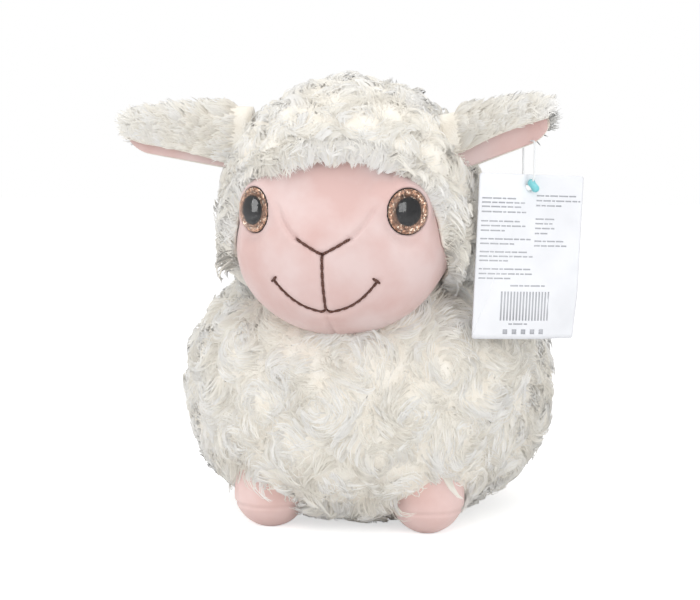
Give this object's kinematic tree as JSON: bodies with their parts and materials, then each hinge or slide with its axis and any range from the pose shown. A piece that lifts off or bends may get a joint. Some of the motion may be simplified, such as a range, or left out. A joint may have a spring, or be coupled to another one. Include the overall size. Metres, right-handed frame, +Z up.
{
  "type": "plush toy",
  "caption": "Stuffed sheep that sits on its belly, with a fleece coat, a velour face and feet, safety eyes, hinged ears and a paper hang tag on a nylon loop.",
  "frame": {"origin": "under the body's middle, on the flat patch of the belly that the sheep rests on", "axes": "-Y out of the sheep's face, +X towards the sheep's left side, +Z up"},
  "size_m": [0.2463, 0.2616, 0.246],
  "materials": {
    "fleece": "cream swirled plush pile, 11 mm, matt with pale tips",
    "velour": "pale pink short nap velour",
    "filling": "white polyester fibre",
    "eye_clear": "clear polished dome",
    "eye_glitter": "bronze glitter ring",
    "eye_black": "polished black",
    "eye_washer": "natural nylon",
    "tag_nylon": "clear moulded nylon",
    "tag_bead": "teal moulded snap lock",
    "tag_card": "white coated card"
  },
  "bodies": {
    "torso": {"body_panel_left": "fleece", "body_panel_right": "fleece", "belly_panel": "fleece", "body_filling": "filling", "hood_left": "fleece", "hood_right": "fleece", "face_forehead": "velour", "face_cheek_left": "velour", "face_cheek_right": "velour", "head_filling": "filling", "eye_left_lens": "eye_clear", "eye_left_iris": "eye_glitter", "eye_left_pupil": "eye_black", "eye_left_stem": "eye_black", "eye_left_washer": "eye_washer", "eye_right_lens": "eye_clear", "eye_right_iris": "eye_glitter", "eye_right_pupil": "eye_black", "eye_right_stem": "eye_black", "eye_right_washer": "eye_washer"},
    "ear_left": {"ear_left_coat": "fleece", "ear_left_lining": "velour"},
    "ear_right": {"ear_right_coat": "fleece", "ear_right_lining": "velour"},
    "tag_string": {"tag_loop": "tag_nylon", "tag_lock": "tag_bead"},
    "tag": {"tag_card": "tag_card"},
    "foot_front_left": {"foot_front_left_upper": "velour", "foot_front_left_sole": "velour", "foot_front_left_filling": "filling"},
    "foot_front_right": {"foot_front_right_upper": "velour", "foot_front_right_sole": "velour", "foot_front_right_filling": "filling"},
    "foot_rear_left": {"foot_rear_left_upper": "velour", "foot_rear_left_sole": "velour", "foot_rear_left_filling": "filling"},
    "foot_rear_right": {"foot_rear_right_upper": "velour", "foot_rear_right_sole": "velour", "foot_rear_right_filling": "filling"},
    "tail": {"tail_coat": "fleece", "tail_filling": "filling"}
  },
  "joints": [
    {"name": "ear_left_flap", "type": "hinge", "parent": "torso", "child": "ear_left", "pos_m": [0.06368, -0.069, 0.21457], "axis": [0, -1, 0], "range_deg": [-2, 40], "stiffness_Nm_per_rad": 0.08},
    {"name": "ear_right_flap", "type": "hinge", "parent": "torso", "child": "ear_right", "pos_m": [-0.06368, -0.069, 0.21457], "axis": [0, 1, 0], "range_deg": [-22, 40], "stiffness_Nm_per_rad": 0.08},
    {"name": "tag_swing", "type": "hinge", "parent": "ear_left", "child": "tag_string", "pos_m": [0.09675, -0.0665, 0.2123], "axis": [0.5, -0.866, 0], "range_deg": [-1, 45]},
    {"name": "tag_card_turn", "type": "hinge", "parent": "tag_string", "child": "tag", "pos_m": [0.09675, -0.0665, 0.1893], "axis": [-0.866, -0.5, 0], "range_deg": [-2, 20]},
    {"name": "foot_front_left_press", "type": "hinge", "parent": "torso", "child": "foot_front_left", "pos_m": [0.0435, -0.064, 0.021], "axis": [1, 0, 0], "range_deg": [-12, 12], "stiffness_Nm_per_rad": 0.4},
    {"name": "foot_front_right_press", "type": "hinge", "parent": "torso", "child": "foot_front_right", "pos_m": [-0.0435, -0.064, 0.021], "axis": [1, 0, 0], "range_deg": [-12, 12], "stiffness_Nm_per_rad": 0.4},
    {"name": "foot_rear_left_press", "type": "hinge", "parent": "torso", "child": "foot_rear_left", "pos_m": [0.0435, 0.064, 0.021], "axis": [1, 0, 0], "range_deg": [-12, 12], "stiffness_Nm_per_rad": 0.4},
    {"name": "foot_rear_right_press", "type": "hinge", "parent": "torso", "child": "foot_rear_right", "pos_m": [-0.0435, 0.064, 0.021], "axis": [1, 0, 0], "range_deg": [-12, 12], "stiffness_Nm_per_rad": 0.4},
    {"name": "tail_wag", "type": "hinge", "parent": "torso", "child": "tail", "pos_m": [0, 0.10468, 0.09058], "axis": [0, 0, 1], "range_deg": [-16, 16], "stiffness_Nm_per_rad": 0.05}
  ]
}
